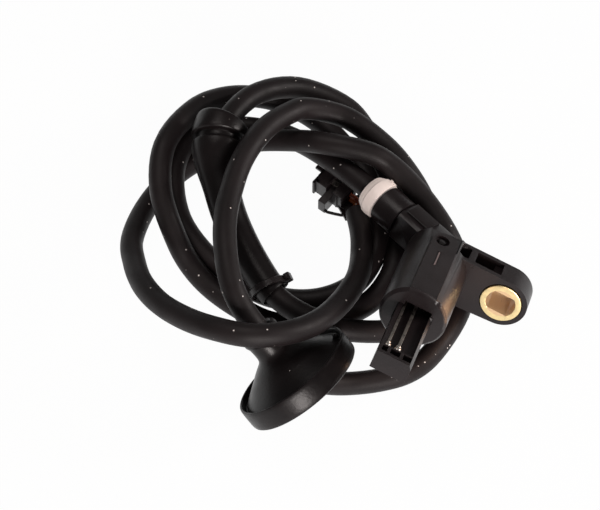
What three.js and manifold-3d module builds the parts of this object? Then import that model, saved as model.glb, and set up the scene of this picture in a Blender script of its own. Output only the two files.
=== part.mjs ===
// Wheel speed sensor with a coiled cable, a rubber boot, a panel grommet and a two-way connector.
// Millimetres, +Z up. The origin is the middle of the sensing face at the end of the tip.
import * as THREE from "three";
import { mergeVertices } from "three/addons/utils/BufferGeometryUtils.js";
import Module from "manifold-3d";

const wasm = await Module();
wasm.setup();
const { Manifold, Mesh } = wasm;

const GAP = 0.3;
const V = (x, y, z) => new THREE.Vector3(x, y, z);

// Solid helpers

// Turns a closed three.js geometry into a solid for the booleans.
function solid(geometry) {
  const bare = geometry.clone();
  bare.deleteAttribute("normal");
  bare.deleteAttribute("uv");
  const merged = mergeVertices(bare, 1e-4);
  const mesh = new Mesh({
    numProp: 3,
    vertProperties: new Float32Array(merged.attributes.position.array),
    triVerts: new Uint32Array(merged.index.array),
  });
  return new Manifold(mesh);
}

// Turns a solid back into a three.js geometry.
function shell(made) {
  const mesh = made.getMesh();
  const geometry = new THREE.BufferGeometry();
  geometry.setAttribute("position", new THREE.BufferAttribute(mesh.vertProperties, 3));
  geometry.setIndex(new THREE.BufferAttribute(mesh.triVerts, 1));
  const flat = geometry.toNonIndexed();
  flat.computeVertexNormals();
  return flat;
}

// A box from its two corners.
function box(low, high) {
  const size = high.map((value, i) => value - low[i]);
  const middle = high.map((value, i) => (value + low[i]) / 2);
  const geometry = new THREE.BoxGeometry(size[0], size[1], size[2]);
  geometry.translate(middle[0], middle[1], middle[2]);
  return solid(geometry);
}

// A solid of revolution about Z from a list of [radius, height] pairs.
function turned(profile, sides) {
  const points = profile.map(([r, z]) => new THREE.Vector2(r, z));
  const geometry = new THREE.LatheGeometry(points, sides);
  geometry.rotateX(Math.PI / 2);
  const made = solid(geometry);
  if (made.volume() > 0) return made;
  const turnedRound = points.slice().reverse();
  const second = new THREE.LatheGeometry(turnedRound, sides);
  second.rotateX(Math.PI / 2);
  return solid(second);
}

// A flat outline in XY, raised from one height to another, with an optional bevel.
function raised(shape, low, high, bevel = 0, curveSegments = 12) {
  const geometry = new THREE.ExtrudeGeometry(shape, {
    depth: high - low - 2 * bevel,
    bevelEnabled: bevel > 0,
    bevelThickness: bevel,
    bevelSize: bevel,
    bevelOffset: -bevel,
    bevelSegments: 1,
    curveSegments,
  });
  geometry.translate(0, 0, low + bevel);
  return solid(geometry);
}

// The matrix that carries local X, Y, Z to three directions at a place.
function placed(x, y, z, at) {
  return new THREE.Matrix4().makeBasis(x, y, z).setPosition(at);
}

// A group whose local Z points along a direction, with local X as near as it can be to a hint.
function along(direction, hint, at) {
  const z = direction.clone().normalize();
  const y = new THREE.Vector3().crossVectors(z, hint).normalize();
  const x = new THREE.Vector3().crossVectors(y, z);
  return placed(x, y, z, at);
}

const object = new THREE.Group();
object.name = "abs_wheel_speed_sensor";

// Colours and finishes read from the picture.
const MOULDED = { color: 0x2b2425, roughness: 0.5, metalness: 0 };
const CABLE = { color: 0x2e2728, roughness: 0.55, metalness: 0 };
const SOFT_RUBBER = { color: 0x1f1b1c, roughness: 0.6, metalness: 0 };
const BRASS = { color: 0xe8c487, roughness: 0.3, metalness: 1 };
const STEEL = { color: 0xa9a39c, roughness: 0.35, metalness: 1 };
const TINNED = { color: 0xc9c6bf, roughness: 0.25, metalness: 1 };
const PALE_PLASTIC = { color: 0xe8dccf, roughness: 0.45, metalness: 0 };
const CHIP_BLACK = { color: 0x151515, roughness: 0.4, metalness: 0 };
const MAGNET_GREY = { color: 0x5a5a5e, roughness: 0.5, metalness: 0.6 };
const ORANGE_WIRE = { color: 0xb4572c, roughness: 0.5, metalness: 0 };
const BROWN_WIRE = { color: 0x6b2f1c, roughness: 0.5, metalness: 0 };

// Adds a named mesh with its finish; the matrix places it in the frame of the object.
function add(name, finish, geometry, matrix) {
  const mesh = new THREE.Mesh(geometry, new THREE.MeshStandardMaterial(finish));
  mesh.name = name;
  if (matrix) mesh.applyMatrix4(matrix);
  object.add(mesh);
  return mesh;
}

// Pose of the sensor head

const HEAD_RISE = THREE.MathUtils.degToRad(26.5);
const HEAD_SWING = THREE.MathUtils.degToRad(19);
const HEAD_ROLL = THREE.MathUtils.degToRad(-12);
const headAxis = V(
  -Math.sin(HEAD_SWING) * Math.cos(HEAD_RISE),
  -Math.cos(HEAD_SWING) * Math.cos(HEAD_RISE),
  Math.sin(HEAD_RISE),
);
const level = new THREE.Vector3().crossVectors(V(0, 0, 1), headAxis).normalize();
const upright = new THREE.Vector3().crossVectors(headAxis, level);
const headEar = level
  .clone()
  .multiplyScalar(Math.cos(HEAD_ROLL))
  .addScaledVector(upright, Math.sin(HEAD_ROLL));
const headTop = new THREE.Vector3().crossVectors(headAxis, headEar);
const head = placed(headEar, headTop, headAxis, V(0, 0, 0));

// Sizes of the sensor head, along local Z from the sensing face at zero

const TIP_LENGTH = 20.5;
const TIP_WIDTH = 8.9;
const TIP_DEPTH = 4.6;
const TIP_ROOT = 5;
const BARREL_RADIUS = 8.6;
const BARREL_END = -TIP_LENGTH;
const EAR_FRONT = BARREL_END - 22;
const EAR_THICKNESS = 7.1;
const BODY_BACK = EAR_FRONT - EAR_THICKNESS;
const EAR_REACH = 19.1;
const EAR_RADIUS = 6.7;
const BUSHING_RADIUS = 5.4;
const BORE_WIDTH = 7;
const BORE_HEIGHT = 6;
const PANEL_TOP = 8.9;
const PANEL_LEFT = -3.6;
const PANEL_RIGHT = 1.9;
const PANEL_FRONT = -22.4;
const PIN_RADIUS = 1.5;
const PIN_Z = -43.8;
const PIN_X = -0.6;

// Neck that carries the cable, leaving the back of the body

const NECK_ANGLE = THREE.MathUtils.degToRad(25.6);
const NECK_ROOT = V(0, 0, BARREL_END - 29.7);
const neckLocal = V(-Math.cos(NECK_ANGLE), 0, -Math.sin(NECK_ANGLE));
const NECK_HALF_WIDTH = 4.3;
const NECK_HALF_HEIGHT = 4.5;
const COLLAR_START = 13.7;
const COLLAR_END = 20.7;
const COLLAR_RADIUS = 5.15;
const RING_END = 26;
const CABLE_START = 17;
const CABLE_RADIUS = 3;
const CABLE_CLEARANCE = 0.35;

// Local frame of the neck: Z runs along it, Y stays the top direction of the head.
const neckFrame = along(neckLocal, V(0, 0, 1), NECK_ROOT);

// Route of the cable, hand placed from the picture, from the neck to the connector

const neckPoint = (t) => NECK_ROOT.clone().addScaledVector(neckLocal, t).applyMatrix4(head);
const GROMMET_MOUTH = V(-20, 5, -22.8);
const GROMMET_AXIS = V(-0.607, 0.533, 0.589).normalize();
const onGrommet = (s) => GROMMET_MOUTH.clone().addScaledVector(GROMMET_AXIS, s);

const ROUTE = [
  [-8.5, 67, -23.5], [-12, 70.8, -25], [-16.5, 75.3, -26.6], [-21, 79.6, -28.8], [-27, 84, -31.2],
  [-34.5, 86.5, -32.5],
  [-41, 86.5, -32], [-47, 84, -30], [-51.5, 79.5, -27], [-55, 68.5, -25.5], [-53, 56.5, -30],
  [-44.5, 45.5, -33], [-37.5, 40, -33], [-30, 36, -33], [-22, 34.5, -33], [-14.5, 35.5, -33],
  [-8, 39, -33], [-3.5, 45, -33], [-1, 52.5, -33], [-1, 59.5, -33], [-2.3, 66.5, -33], [-5.8, 73.5, -33],
  [-10, 81, -33], [-15, 87.5, -33], [-21.5, 92.5, -33], [-29, 95, -31.5], [-37, 94, -29],
  [-43.5, 91, -26], [-49, 86, -23], [-56.5, 72.5, -19], [-57.5, 60, -21], [-54, 48.5, -26.5],
  [-51, 43, -30], [-46, 37.5, -32], [-39, 31.5, -33], [-30.5, 27, -33], [-20.5, 26.5, -33],
  [-10.5, 29.5, -33], [-3, 34, -33], [2.5, 40.5, -33], [5, 49, -33], [5.5, 58, -33],
  [3.5, 67, -33], [0.5, 76.5, -33], [-4, 85, -32.5], [-8.5, 91.5, -30.5], [-22, 94, -24],
  [-34, 88, -18.5], [-41.5, 77, -16], [-42.5, 70.5, -16], [-42.5, 64.5, -17.5], [-41, 58, -19],
  [-39.5, 53, -21], [-34, 41.1, -23.2], [-26.5, 30, -24.6], [-15.5, 24.3, -26.6], [-8.5, 23.5, -29],
  [4.5, 26, -33], [9.5, 29.5, -33], [15.5, 42, -33], [15, 50, -33], [13.5, 58.5, -33],
  [10.5, 65.5, -31], [6.5, 71, -28], [2, 76, -26], [-6.5, 81.5, -22], [-11, 83.5, -21],
  [-20.5, 83.3, -17.5], [-25, 80.2, -15.5], [-30, 74.7, -12.5], [-34.5, 67.5, -9.8], [-37.5, 60.4, -8.8],
  [-39, 52.7, -8], [-40.5, 45, -6.5], [-40.5, 36, -5], [-38.2, 24.5, -5.2], [-35.2, 18.9, -8.2],
  [-31.1, 14.8, -12], [-27.5, 11.6, -15.5], [-23.8, 8.9, -19.9], [-19.5, 8.2, -24.8],
  [-14.5, 9.2, -29.2], [-8, 10.4, -31.8], [-0.5, 12, -33], [5.5, 14, -33], [11, 18, -33],
  [19.3, 30.5, -33], [21, 37.5, -33], [20.6, 42.5, -31.2], [18, 49, -27], [11.5, 60, -24], [2.5, 68, -20.5],
  [-3, 70, -18.5], [-15.5, 73.5, -19], [-21, 76, -22], [-33.5, 79, -27], [-39.5, 78.5, -28.5],
  [-45, 78, -31], [-54.5, 72.5, -33], [-61.5, 63.5, -32.5], [-65, 49, -27.5], [-64, 40.5, -24],
  [-61.5, 31.5, -19], [-56.5, 23.5, -14.5], [-49.5, 17, -10], [-42, 12.5, -6], [-34, 10, -4],
  [-26.5, 11, -5], [-19.5, 14.5, -8], [-14, 20.5, -12.5], [-9.5, 28, -17], [-6.5, 36, -21.5],
  [-5.5, 44, -25.5], [-5.5, 51.5, -28], [-6.5, 58.5, -29.5],
];
const CABLE_STEPS = 80;
const CABLE_SIDES = 10;
const routePoints = [
  neckPoint(CABLE_START),
  neckPoint(CABLE_START + 11),
  ...ROUTE.map(([x, y, z]) => V(x, y, z)),
];
const route = new THREE.CatmullRomCurve3(routePoints, false, "centripetal");
route.arcLengthDivisions = 2000;
const stations = route.getSpacedPoints(CABLE_STEPS);
const frames = route.computeFrenetFrames(CABLE_STEPS, false);
const STEP = route.getLength() / CABLE_STEPS;

// A place on the swept cable as it is drawn: between two stations its middle line is straight.
function cableAt(distance) {
  const index = Math.min(CABLE_STEPS - 1, Math.max(0, Math.floor(distance / STEP)));
  const part = distance / STEP - index;
  const mix = (list) => list[index].clone().lerp(list[index + 1], part);
  return { at: mix(stations), x: mix(frames.normals), y: mix(frames.binormals) };
}

// The distance along the cable of the station line nearest to a point.
function nearestDistance(point) {
  let best = 0;
  let least = Infinity;
  for (let d = 0; d <= STEP * CABLE_STEPS; d += 0.25) {
    const far = cableAt(d).at.distanceTo(point);
    if (far < least) {
      least = far;
      best = d;
    }
  }
  return best;
}

// Bends a closed [radius, distance] profile along the drawn cable, to make a sleeve on it.
function sleeve(profile, sides) {
  const positions = [];
  const index = [];
  const count = profile.length;
  profile.forEach(([radius, distance]) => {
    const { at, x, y } = cableAt(distance);
    for (let k = 0; k < sides; k += 1) {
      const turn = (2 * Math.PI * k) / sides;
      const place = at
        .clone()
        .addScaledVector(x, radius * Math.cos(turn))
        .addScaledVector(y, radius * Math.sin(turn));
      positions.push(place.x, place.y, place.z);
    }
  });
  for (let i = 0; i < count; i += 1) {
    const next = (i + 1) % count;
    for (let k = 0; k < sides; k += 1) {
      const far = (k + 1) % sides;
      const corners = [i * sides + k, i * sides + far, next * sides + far, next * sides + k];
      index.push(corners[0], corners[1], corners[2], corners[0], corners[2], corners[3]);
    }
  }
  const made = (order) =>
    new Manifold(
      new Mesh({
        numProp: 3,
        vertProperties: new Float32Array(positions),
        triVerts: new Uint32Array(order),
      }),
    );
  const first = made(index);
  if (first.volume() > 0) return first;
  const flipped = [];
  for (let i = 0; i < index.length; i += 3) flipped.push(index[i], index[i + 2], index[i + 1]);
  return made(flipped);
}

// Sensor body: barrel, ear, raised panel and neck in one moulding

const barrel = turned(
  [
    [0, BODY_BACK],
    [BARREL_RADIUS - 0.8, BODY_BACK],
    [BARREL_RADIUS, BODY_BACK + 0.8],
    [BARREL_RADIUS, BARREL_END - 0.8],
    [BARREL_RADIUS - 0.8, BARREL_END],
    [0, BARREL_END],
  ],
  48,
);

const earShape = new THREE.Shape();
earShape.moveTo(0, -EAR_RADIUS);
earShape.lineTo(EAR_REACH, -EAR_RADIUS);
earShape.absarc(EAR_REACH, 0, EAR_RADIUS, -Math.PI / 2, Math.PI / 2, false);
earShape.lineTo(0, EAR_RADIUS);
earShape.closePath();
const ear = raised(earShape, BODY_BACK, EAR_FRONT, 0.4, 24);
const earHole = turned(
  [
    [0, BODY_BACK - 1],
    [BUSHING_RADIUS + GAP, BODY_BACK - 1],
    [BUSHING_RADIUS + GAP, EAR_FRONT + 1],
    [0, EAR_FRONT + 1],
  ],
  48,
).translate([EAR_REACH, 0, 0]);

// Hollows moulded into the long side of the ear, with a rib left between them.
const POCKET_DEPTH = 1.6;
const POCKET_BACK = BODY_BACK + 1.3;
const POCKET_FRONT = EAR_FRONT - 1.3;
const pocketOne = box(
  [8.2 - 3.9, EAR_RADIUS - POCKET_DEPTH, POCKET_BACK],
  [7.9, EAR_RADIUS + 2, POCKET_FRONT],
);
const pocketTwo = box(
  [9.3, EAR_RADIUS - POCKET_DEPTH, POCKET_BACK],
  [15.8, EAR_RADIUS + 2, POCKET_FRONT],
);

const panelPart = box([PANEL_LEFT, 0, BODY_BACK + 4.2], [PANEL_RIGHT, PANEL_TOP, PANEL_FRONT]);
const panelMark = box([-1.3, PANEL_TOP - 1, -39.6], [-0.3, PANEL_TOP + 0.35, -32.8]);
const PIN_SEAT = PANEL_TOP - 2.6;
const pinRecess = box(
  [PANEL_LEFT - 1, PIN_SEAT, BODY_BACK - 1],
  [PANEL_RIGHT + 1.6, PANEL_TOP + 3, BODY_BACK + 7.8],
);
const pinHole = turned(
  [
    [0, -1],
    [PIN_RADIUS + GAP, -1],
    [PIN_RADIUS + GAP, 12],
    [0, 12],
  ],
  24,
)
  .rotate([-90, 0, 0])
  .translate([PIN_X, PIN_SEAT - 3.2, PIN_Z]);

const neckShape = new THREE.Shape();
neckShape.moveTo(-NECK_HALF_WIDTH + 1, -NECK_HALF_HEIGHT);
neckShape.lineTo(NECK_HALF_WIDTH - 1, -NECK_HALF_HEIGHT);
neckShape.lineTo(NECK_HALF_WIDTH, -NECK_HALF_HEIGHT + 1);
neckShape.lineTo(NECK_HALF_WIDTH, NECK_HALF_HEIGHT - 1);
neckShape.lineTo(NECK_HALF_WIDTH - 1, NECK_HALF_HEIGHT);
neckShape.lineTo(-NECK_HALF_WIDTH + 1, NECK_HALF_HEIGHT);
neckShape.lineTo(-NECK_HALF_WIDTH, NECK_HALF_HEIGHT - 1);
neckShape.lineTo(-NECK_HALF_WIDTH, -NECK_HALF_HEIGHT + 1);
neckShape.closePath();
const SPIGOT_RADIUS = COLLAR_RADIUS - 1.1;
const SPIGOT_BORE = CABLE_RADIUS + CABLE_CLEARANCE;
const neckBeam = raised(neckShape, 0, COLLAR_START - GAP, 0);
const neckPad = box([-2.4, NECK_HALF_HEIGHT - 1, 5], [2.4, NECK_HALF_HEIGHT + 0.7, 12.4]);
const spigot = turned(
  [
    [0, COLLAR_START - 2],
    [SPIGOT_RADIUS, COLLAR_START - 2],
    [SPIGOT_RADIUS, COLLAR_END - 0.6],
    [0, COLLAR_END - 0.6],
  ],
  32,
);
const cableBore = turned(
  [
    [0, CABLE_START - GAP],
    [SPIGOT_BORE, CABLE_START - GAP],
    [SPIGOT_BORE, COLLAR_END + 4],
    [0, COLLAR_END + 4],
  ],
  32,
);
const neck = neckBeam
  .add(neckPad)
  .add(spigot)
  .subtract(cableBore)
  .transform(neckFrame.elements.slice());

// Blind slot in the barrel end that holds the root of the tip.
const tipSlot = box(
  [-TIP_WIDTH / 2 - GAP, -TIP_DEPTH / 2 - GAP, BARREL_END - TIP_ROOT - GAP],
  [TIP_WIDTH / 2 + GAP, TIP_DEPTH / 2 + GAP, BARREL_END + 1],
);
// Open moulding groove beside the ear on the barrel.
const barrelSlit = box([7.2, -0.6, -38.5], [9.5, 0.6, -35.5]);
const backHollow = box([6.5, -4.2, BODY_BACK - 1], [12.6, 4.2, BODY_BACK + 3]);

const sensorBody = barrel
  .add(ear)
  .add(panelPart)
  .add(neck)
  .subtract(pinRecess)
  .add(panelMark)
  .subtract(earHole)
  .subtract(pocketOne)
  .subtract(pocketTwo)
  .subtract(pinHole)
  .subtract(barrelSlit)
  .subtract(backHollow)
  .subtract(tipSlot);
add("sensor_body", MOULDED, shell(sensorBody), head);

// Brass bushing with an oblong bore

const bushingOuter = turned(
  [
    [0, BODY_BACK + 0.1],
    [BUSHING_RADIUS - 0.4, BODY_BACK + 0.1],
    [BUSHING_RADIUS, BODY_BACK + 0.5],
    [BUSHING_RADIUS, EAR_FRONT],
    [BUSHING_RADIUS - 0.4, EAR_FRONT + 0.4],
    [0, EAR_FRONT + 0.4],
  ],
  48,
);
const boreShape = new THREE.Shape();
const boreFlat = (BORE_WIDTH - BORE_HEIGHT) / 2;
boreShape.moveTo(-boreFlat, -BORE_HEIGHT / 2);
boreShape.lineTo(boreFlat, -BORE_HEIGHT / 2);
boreShape.absarc(boreFlat, 0, BORE_HEIGHT / 2, -Math.PI / 2, Math.PI / 2, false);
boreShape.lineTo(-boreFlat, BORE_HEIGHT / 2);
boreShape.absarc(-boreFlat, 0, BORE_HEIGHT / 2, Math.PI / 2, (3 * Math.PI) / 2, false);
const bushingBore = raised(boreShape, BODY_BACK - 1, EAR_FRONT + 2, 0, 24);
const bushing = bushingOuter.subtract(bushingBore).translate([EAR_REACH, 0, 0]);
add("compression_bushing", BRASS, shell(bushing), head);

// Metal pin standing in the recess of the panel

const PIN_LENGTH = 4.6;
const pin = turned(
  [
    [0, 0],
    [PIN_RADIUS, 0],
    [PIN_RADIUS, PIN_LENGTH - 0.4],
    [PIN_RADIUS - 0.4, PIN_LENGTH],
    [0, PIN_LENGTH],
  ],
  24,
)
  .rotate([-90, 0, 0])
  .translate([PIN_X, PIN_SEAT - 3.2 - 1 + GAP, PIN_Z]);
add("locating_pin", STEEL, shell(pin), head);

// Carrier of the sensing element: a flat tongue with two channels and three small pockets

const CHANNEL_HALF = 2.3;
const CHANNEL_WIDTH = 1.9;
const CHANNEL_DEPTH = 1.1;
const CHANNEL_END = -3.6;
const STRIP_THICKNESS = 0.5;
const CHIP_SIZE = [4.4, 1.3, 3.2];
const MAGNET_SIZE = [5, 1.4, 4.6];
const tongueShape = new THREE.Shape();
tongueShape.moveTo(-TIP_WIDTH / 2 + 0.5, -TIP_DEPTH / 2);
tongueShape.lineTo(TIP_WIDTH / 2 - 0.5, -TIP_DEPTH / 2);
tongueShape.lineTo(TIP_WIDTH / 2, -TIP_DEPTH / 2 + 0.5);
tongueShape.lineTo(TIP_WIDTH / 2, TIP_DEPTH / 2 - 0.5);
tongueShape.lineTo(TIP_WIDTH / 2 - 0.5, TIP_DEPTH / 2);
tongueShape.lineTo(-TIP_WIDTH / 2 + 0.5, TIP_DEPTH / 2);
tongueShape.lineTo(-TIP_WIDTH / 2, TIP_DEPTH / 2 - 0.5);
tongueShape.lineTo(-TIP_WIDTH / 2, -TIP_DEPTH / 2 + 0.5);
tongueShape.closePath();
let carrier = raised(tongueShape, BARREL_END - TIP_ROOT, 0, 0);
const channelSides = [-1, 1];
channelSides.forEach((side) => {
  carrier = carrier.subtract(
    box(
      [side * CHANNEL_HALF - CHANNEL_WIDTH / 2, TIP_DEPTH / 2 - CHANNEL_DEPTH, BARREL_END - TIP_ROOT + 1],
      [side * CHANNEL_HALF + CHANNEL_WIDTH / 2, TIP_DEPTH / 2 + 1, CHANNEL_END],
    ),
  );
});
[-3, 0, 3].forEach((x) => {
  carrier = carrier.subtract(
    box([x - 0.65, TIP_DEPTH / 2 - 0.9, -2.4], [x + 0.65, TIP_DEPTH / 2 + 1, -1.1]),
  );
});
const CHIP_END = -1.2;
const MAGNET_END = CHIP_END - CHIP_SIZE[2] - 1.2;
const underPocket = (size, end) =>
  box(
    [-size[0] / 2 - GAP, -TIP_DEPTH / 2 - 1, end - size[2] - GAP],
    [size[0] / 2 + GAP, -TIP_DEPTH / 2 + size[1] + GAP, end + GAP],
  );
carrier = carrier.subtract(underPocket(CHIP_SIZE, CHIP_END)).subtract(underPocket(MAGNET_SIZE, MAGNET_END));
add("element_carrier", MOULDED, shell(carrier), head);

const seated = (size, end) =>
  box([-size[0] / 2, -TIP_DEPTH / 2, end - size[2]], [size[0] / 2, -TIP_DEPTH / 2 + size[1], end]);
add("sensing_chip", CHIP_BLACK, shell(seated(CHIP_SIZE, CHIP_END)), head);
add("bias_magnet", MAGNET_GREY, shell(seated(MAGNET_SIZE, MAGNET_END)), head);

// Lead strips in the channels, each with a soldered pad near the chip

channelSides.forEach((side) => {
  const floor = TIP_DEPTH / 2 - CHANNEL_DEPTH + GAP;
  const half = CHANNEL_WIDTH / 2 - GAP;
  const middle = side * CHANNEL_HALF;
  const strip = box(
    [middle - half, floor, BARREL_END - TIP_ROOT + 2],
    [middle + half, floor + STRIP_THICKNESS - 0.15, CHANNEL_END - GAP],
  );
  const pad = box(
    [middle - half, floor, CHANNEL_END - GAP - 3],
    [middle + half, floor + STRIP_THICKNESS + 0.35, CHANNEL_END - GAP],
  );
  const name = side < 0 ? "lead_strip_left" : "lead_strip_right";
  add(name, TINNED, shell(strip.add(pad)), head);
});

// Collar and seal ring on the neck

const headNeck = head.clone().multiply(neckFrame);
const collar = turned(
  [
    [SPIGOT_RADIUS + GAP, COLLAR_START],
    [COLLAR_RADIUS - 0.5, COLLAR_START],
    [COLLAR_RADIUS, COLLAR_START + 0.5],
    [COLLAR_RADIUS, COLLAR_END - 0.3],
    [COLLAR_RADIUS - 0.3, COLLAR_END],
    [SPIGOT_RADIUS + GAP, COLLAR_END],
  ].concat([[SPIGOT_RADIUS + GAP, COLLAR_START]]),
  40,
);
add("neck_collar", MOULDED, shell(collar), headNeck);

const RING_BORE = CABLE_RADIUS + CABLE_CLEARANCE + 0.15;
const ring = turned(
  [
    [RING_BORE, COLLAR_END + GAP],
    [5, COLLAR_END + GAP],
    [5.3, COLLAR_END + 1],
    [5.3, COLLAR_END + 2.4],
    [4.9, COLLAR_END + 3.9],
    [4.25, RING_END],
    [RING_BORE, RING_END],
    [RING_BORE, COLLAR_END + GAP],
  ],
  40,
);
const ringNotch = box([-0.9, 4.4, COLLAR_END - 1], [0.9, 7, COLLAR_END + 1.8]);
add("seal_ring", PALE_PLASTIC, shell(ring.subtract(ringNotch)), headNeck);

// Cable jacket with two short bores for the wires at its free end

const section = new THREE.Shape();
for (let k = 0; k < CABLE_SIDES; k += 1) {
  const turn = (2 * Math.PI * k) / CABLE_SIDES;
  const x = CABLE_RADIUS * Math.cos(turn);
  const y = CABLE_RADIUS * Math.sin(turn);
  if (k === 0) section.moveTo(x, y);
  else section.lineTo(x, y);
}
section.closePath();
const cableGeometry = new THREE.ExtrudeGeometry(section, {
  steps: CABLE_STEPS,
  extrudePath: route,
  bevelEnabled: false,
});
let jacket = solid(cableGeometry);
const jacketEnd = stations[CABLE_STEPS];
const endDirection = stations[CABLE_STEPS].clone().sub(stations[CABLE_STEPS - 1]).normalize();
const endFrame = along(endDirection, V(1, 0, 0), jacketEnd);
const WIRE_RADIUS = 0.65;
const WIRE_OFFSET = 1.35;
const WIRE_ROOT = 4;
[-1, 1].forEach((side) => {
  const hole = turned(
    [
      [0, -WIRE_ROOT - GAP],
      [WIRE_RADIUS + GAP, -WIRE_ROOT - GAP],
      [WIRE_RADIUS + GAP, 2],
      [0, 2],
    ],
    12,
  ).translate([side * WIRE_OFFSET, 0, 0]);
  jacket = jacket.subtract(hole.transform(endFrame.elements.slice()));
});
add("cable_jacket", CABLE, shell(jacket));

// Rubber boot on the cable: bell flange, grooved cone and a long sleeve

const BOOT_SIDES = 28;
const bootFlange = nearestDistance(V(-41.8, 75, -16));
const tieMiddle = nearestDistance(V(-30.3, 35.4, -25));
const bootStart = bootFlange - 2.2;
const bootEnd = tieMiddle + 3.2;
const BOOT_RIM = 7.6;
const SLEEVE_BORE = CABLE_RADIUS + 0.45;
const SLEEVE_END_RADIUS = 4.1;
const bootOuter = [
  [BOOT_RIM - 0.7, bootStart],
  [BOOT_RIM, bootStart + 0.7],
  [BOOT_RIM, bootStart + 3.7],
  [BOOT_RIM - 0.5, bootStart + 4.4],
  [6.2, bootStart + 4.7],
  [6.2, bootStart + 6],
  [6.7, bootStart + 6.3],
  [6.5, bootStart + 8.6],
  [5.6, bootStart + 12],
  [4.9, bootStart + 15.5],
  [4.7, bootStart + 18],
];
const sleeveStart = bootStart + 18;
const SLEEVE_PARTS = 6;
for (let i = 1; i <= SLEEVE_PARTS; i += 1) {
  const part = i / SLEEVE_PARTS;
  const radius = 4.7 + (SLEEVE_END_RADIUS - 4.7) * part;
  bootOuter.push([radius, sleeveStart + (bootEnd - 0.4 - sleeveStart) * part]);
}
bootOuter.push([SLEEVE_END_RADIUS - 0.3, bootEnd]);
const bootInner = [];
bootInner.push([SLEEVE_BORE, bootEnd]);
for (let i = SLEEVE_PARTS - 1; i >= 0; i -= 1) {
  bootInner.push([SLEEVE_BORE, sleeveStart + ((bootEnd - sleeveStart) * i) / SLEEVE_PARTS]);
}
bootInner.push([SLEEVE_BORE, bootStart + 11]);
bootInner.push([4.6, bootStart + 8]);
bootInner.push([5.4, bootStart + 3]);
bootInner.push([6.3, bootStart]);
const boot = sleeve([...bootOuter, ...bootInner], BOOT_SIDES);
add("cable_boot", SOFT_RUBBER, shell(boot));

// Cable tie round the end of the sleeve

const tiePlace = cableAt(tieMiddle);
const tieAxis = cableAt(tieMiddle + 1).at.sub(cableAt(tieMiddle - 1).at).normalize();
const tieFrame = along(tieAxis, V(1, 0, 0.35), tiePlace.at);
const TIE_BORE = SLEEVE_END_RADIUS + GAP + 0.1;
const TIE_WIDTH = 3.4;
const tieBand = turned(
  [
    [TIE_BORE, -TIE_WIDTH / 2],
    [TIE_BORE + 0.9, -TIE_WIDTH / 2],
    [TIE_BORE + 0.9, TIE_WIDTH / 2],
    [TIE_BORE, TIE_WIDTH / 2],
    [TIE_BORE, -TIE_WIDTH / 2],
  ],
  32,
);
const tieHead = box([TIE_BORE + 0.4, -2.2, -2.4], [TIE_BORE + 3.4, 2.2, 2.4]);
const tieSlot = box([TIE_BORE + 1.3, -3, -1.3], [TIE_BORE + 2.5, 3, 1.3]);
const tie = tieBand.add(tieHead.subtract(tieSlot));
add("cable_tie", MOULDED, shell(tie), tieFrame);

// Panel grommet: a hollow bell with an upturned lip and a cuff on the cable

const grommetProfile = [
  [4.5, 19.4],
  [4.9, 18.9],
  [4.9, 17],
  [4.5, 16.4],
  [4.4, 12.4],
  [5.3, 10.8],
  [6.5, 9.7],
  [9.2, 7],
  [11.5, 4.2],
  [14.6, 4.2],
  [15.2, 5.6],
  [15.7, 6],
  [16.3, 5.5],
  [16.3, 1],
  [15.9, 0],
  [13.6, 0],
  [13.2, 1],
  [13.2, 2.4],
  [10.6, 2.4],
  [8, 5.4],
  [5.4, 8.6],
  [3.8, 11.2],
  [3.6, 12.4],
  [3.6, 19.4],
];
const grommetFrame = along(GROMMET_AXIS, V(1, 0, 0), GROMMET_MOUTH);
const grommet = turned([...grommetProfile, grommetProfile[0]], 48);
add("panel_grommet", SOFT_RUBBER, shell(grommet), grommetFrame);

// Two-way connector lying on its side under the cable, with its mating nose along local Z

const CONNECTOR_PLACE = V(-13.7, 69.3, -32.6);
const CONNECTOR_DIRECTION = V(-0.78, 0.626, 0).normalize();
const CONNECTOR_SIDE = V(-0.626, -0.78, 0).normalize();
const connectorFrame = along(CONNECTOR_DIRECTION, CONNECTOR_SIDE, CONNECTOR_PLACE);
const HOUSING_HALF = 3.3;
const NOSE_HALF_WIDTH = 3;
const NOSE_LENGTH = 4.1;
const BAND_LEFT = 5.9;
const BAND_BACK = -2.6;
const SHELL_LEFT = 3.3;
const SHELL_BACK = -7;
const PITCH_HALF = 1.25;
const TERMINAL_HALF = 0.8;
const BLADE_HALF = 0.35;
const BLADE_WIDTH_HALF = 0.7;
const SEAL_HALF_WIDTH = 1.5;
const SEAL_HALF_HEIGHT = 2.5;
const SEAL_DEPTH = 2.2;
const CAVITY_FRONT = 0.2;
const MATING_FLOOR = 1.2;
const housing = box([-NOSE_HALF_WIDTH, -3, -1], [NOSE_HALF_WIDTH, 3, NOSE_LENGTH])
  .add(box([-3.2, -HOUSING_HALF, BAND_BACK], [BAND_LEFT, HOUSING_HALF, 0]))
  .add(box([-NOSE_HALF_WIDTH, -HOUSING_HALF, SHELL_BACK], [SHELL_LEFT, HOUSING_HALF, 0]))
  .subtract(
    box(
      [-SEAL_HALF_WIDTH - GAP, -SEAL_HALF_HEIGHT - GAP, SHELL_BACK - 1],
      [SEAL_HALF_WIDTH + GAP, SEAL_HALF_HEIGHT + GAP, SHELL_BACK + SEAL_DEPTH + GAP],
    ),
  )
  .subtract(box([-2.2, -2.5, MATING_FLOOR], [2.2, 2.5, NOSE_LENGTH + 1]))
  .subtract(box([3.4, -1.6, -1.4], [BAND_LEFT - 0.6, HOUSING_HALF + 1, 1]));
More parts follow.
